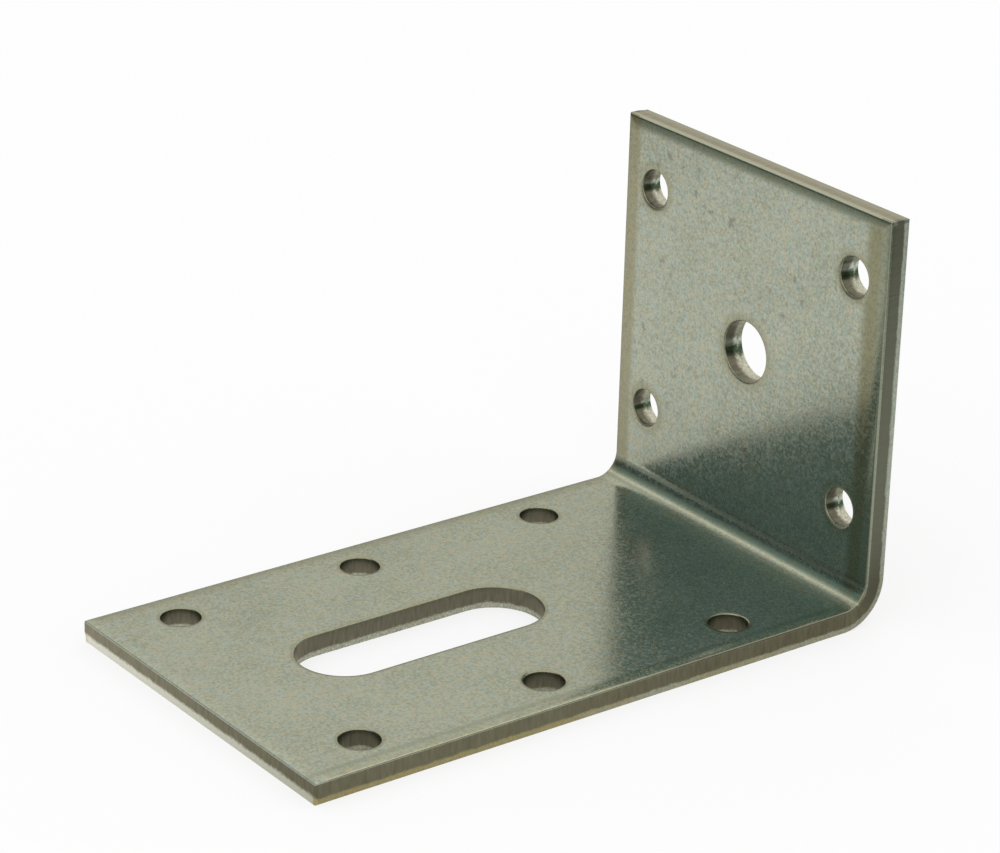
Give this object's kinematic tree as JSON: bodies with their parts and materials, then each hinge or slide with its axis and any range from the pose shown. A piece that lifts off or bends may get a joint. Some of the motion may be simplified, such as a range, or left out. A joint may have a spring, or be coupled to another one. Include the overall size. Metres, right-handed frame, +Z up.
{
  "type": "angle anchor",
  "caption": "Heavy L-shaped angle anchor folded from galvanised steel sheet, with nail holes in both legs, a bolt hole in the upright leg and a bolt slot in the base leg.",
  "frame": {"origin": "on the underside of the long leg, under the middle of the part's box", "axes": "+Z up along the short leg, +Y from the long leg's free end towards the short leg's back, +X across the strip"},
  "size_m": [0.05, 0.085, 0.0533],
  "materials": {
    "galvanised_sheet": "satin zinc coating with bare sheared edges"
  },
  "bodies": {
    "root": {"angle_anchor": "galvanised_sheet"}
  },
  "joints": []
}
